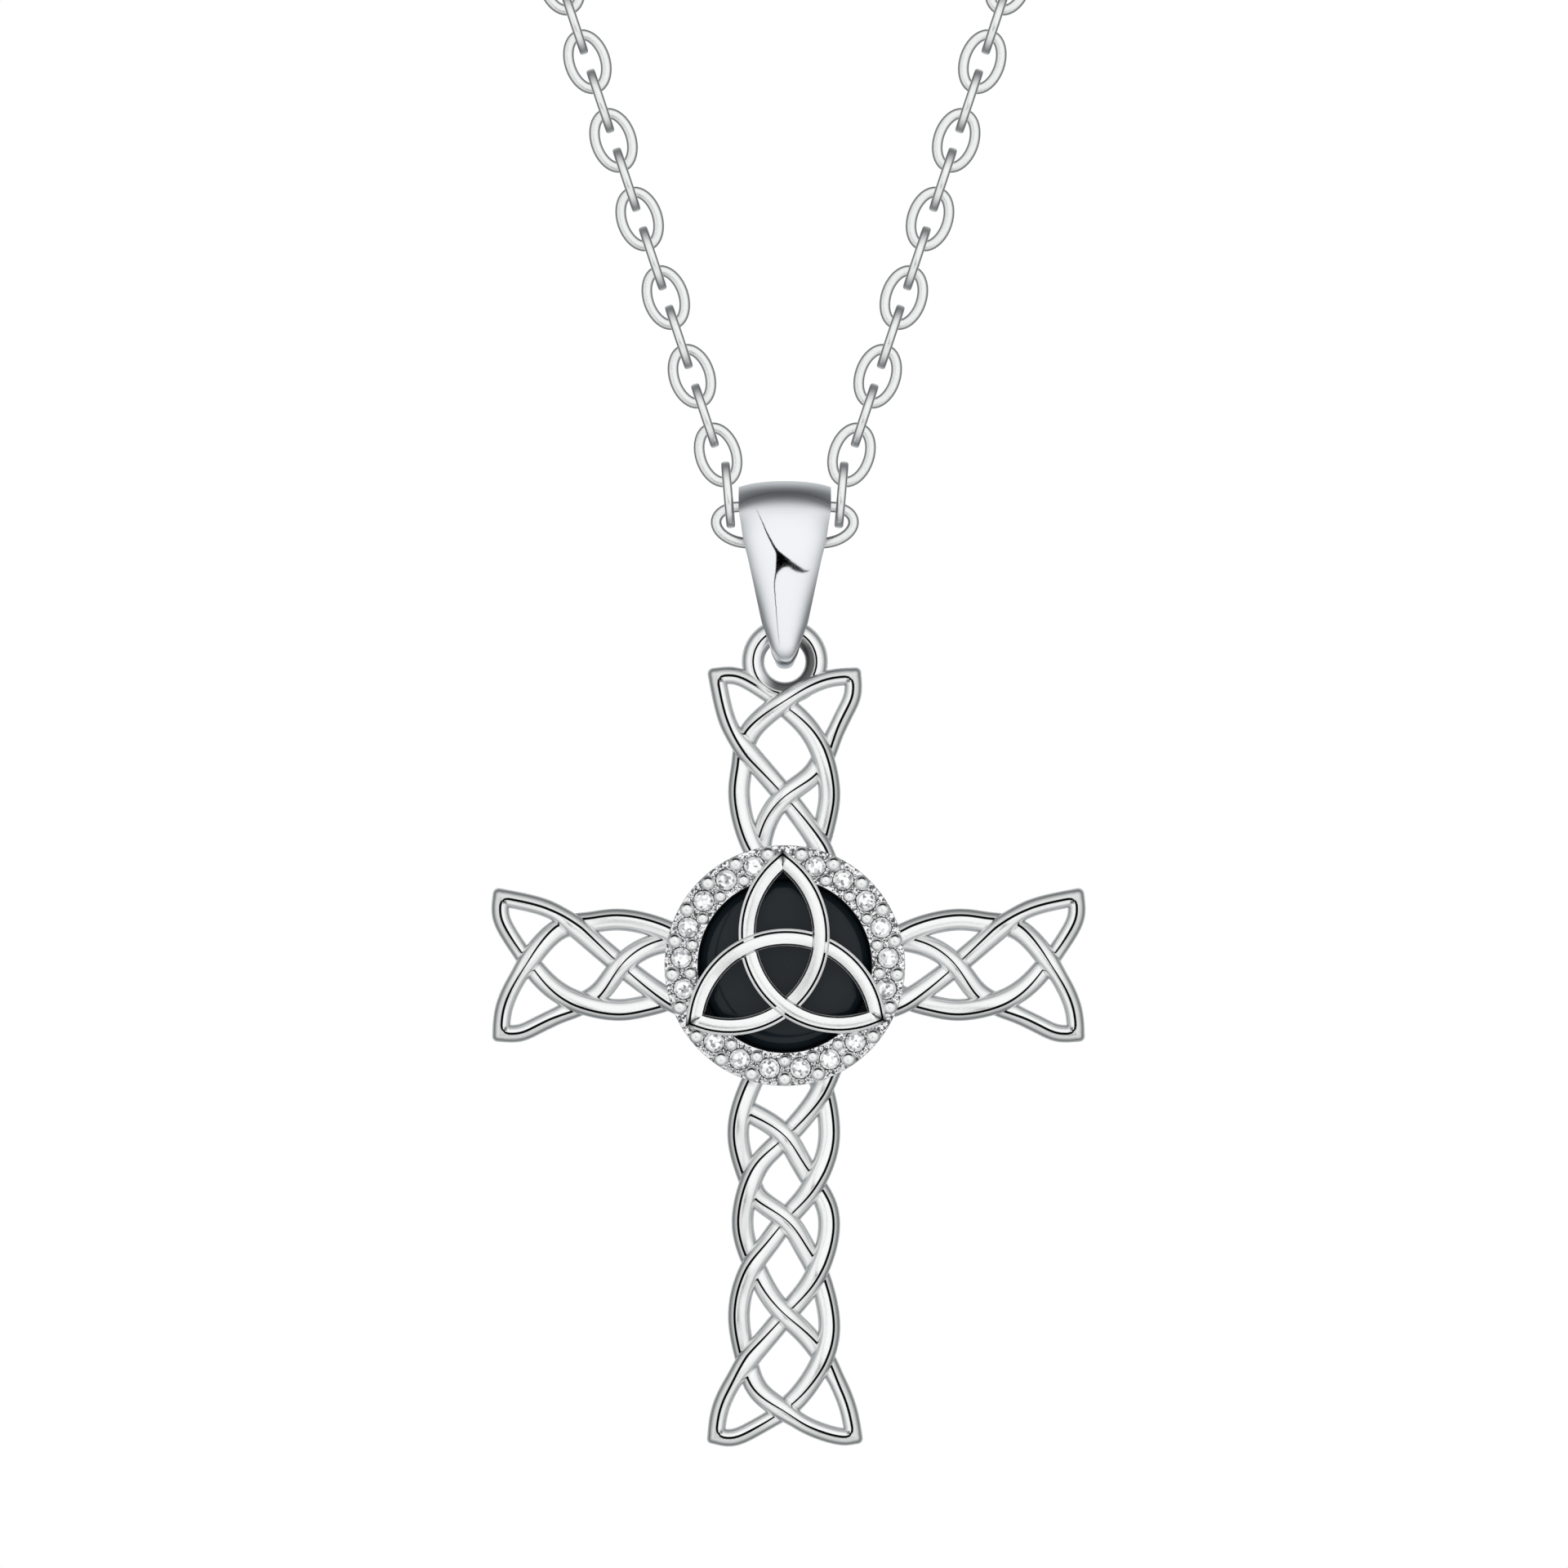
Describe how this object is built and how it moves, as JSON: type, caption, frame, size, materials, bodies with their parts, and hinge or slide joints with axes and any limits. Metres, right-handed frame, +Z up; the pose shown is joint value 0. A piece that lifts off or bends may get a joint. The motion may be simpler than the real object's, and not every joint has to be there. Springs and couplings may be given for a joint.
{
  "type": "celtic cross pendant necklace",
  "caption": "Silver cross of pierced interlaced knotwork with a black disc, a three-cornered knot and a ring of clear stones, hung from a tapered bail on a cable chain.",
  "frame": {"origin": "underside of the clasp at the nape of the neck, on the chain's own plane", "axes": "+Z up, front of the cross faces -Y, +X to the right in the picture"},
  "size_m": [0.0976, 0.0034, 0.2225],
  "materials": {
    "silver": "polished silver",
    "onyx": "polished black stone",
    "clear_stone": "cut and polished"
  },
  "bodies": {
    "chain": {"chain_front": "silver", "chain_back": "silver", "clasp": "silver"},
    "bail": {"bail": "silver"},
    "cross": {"cross": "silver", "onyx_disc": "onyx", "stone_01": "clear_stone", "stone_02": "clear_stone", "stone_03": "clear_stone", "stone_04": "clear_stone", "stone_05": "clear_stone", "stone_06": "clear_stone", "stone_07": "clear_stone", "stone_08": "clear_stone", "stone_09": "clear_stone", "stone_10": "clear_stone", "stone_11": "clear_stone", "stone_12": "clear_stone", "stone_13": "clear_stone", "stone_14": "clear_stone", "stone_15": "clear_stone", "stone_16": "clear_stone", "stone_17": "clear_stone", "stone_18": "clear_stone"}
  },
  "joints": [
    {"name": "bail_swing", "type": "hinge", "parent": "chain", "child": "bail", "pos_m": [0, 0, -0.18934], "axis": [1, 0, 0], "range_deg": [-75, 75]},
    {"name": "cross_swing", "type": "hinge", "parent": "bail", "child": "cross", "pos_m": [0, 0, -0.19272], "axis": [1, 0, 0], "range_deg": [-40, 40]}
  ]
}
